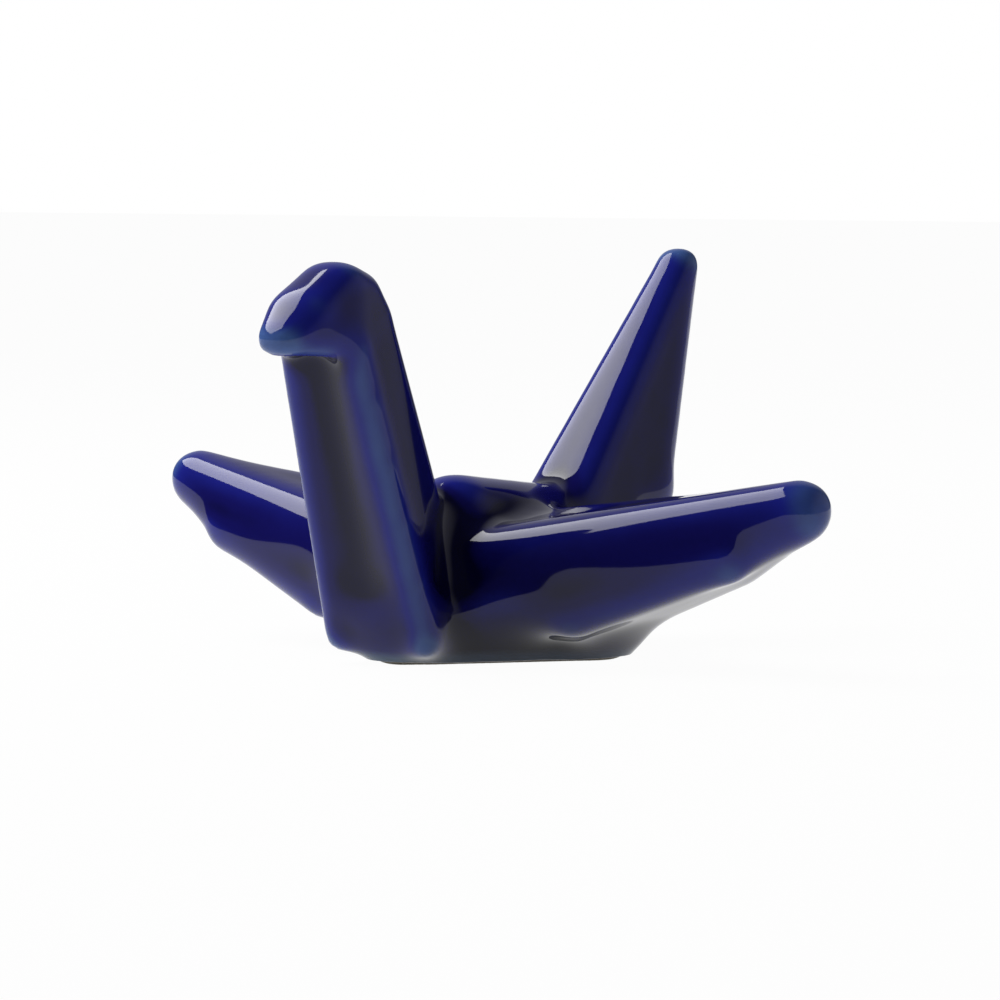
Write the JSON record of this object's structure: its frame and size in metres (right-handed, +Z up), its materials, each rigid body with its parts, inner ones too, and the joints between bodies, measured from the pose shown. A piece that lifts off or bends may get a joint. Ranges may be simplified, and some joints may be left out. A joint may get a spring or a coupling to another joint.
{
  "type": "chopstick rest",
  "caption": "Small glazed stoneware rest in the shape of a folded paper crane; chopsticks lie across the back between neck and tail.",
  "frame": {"origin": "on the table under the bird, in the foot's flat face, in the middle plane between the roots of the wings", "axes": "+Z up, -Y towards the beak, +Y towards the tail, +X towards the tip of the bird's left wing"},
  "size_m": [0.0746, 0.0608, 0.0364],
  "materials": {
    "clay": "bare fired stoneware, matt, cream",
    "glaze": "thick glossy cobalt glaze, thinner and lighter on the edges"
  },
  "bodies": {
    "root": {"body": "clay", "neck": "clay", "head": "clay", "tail": "clay", "left_wing": "clay", "right_wing": "clay", "body_glaze": "glaze", "neck_glaze": "glaze", "head_glaze": "glaze", "tail_glaze": "glaze", "left_wing_glaze": "glaze", "right_wing_glaze": "glaze"}
  },
  "joints": []
}
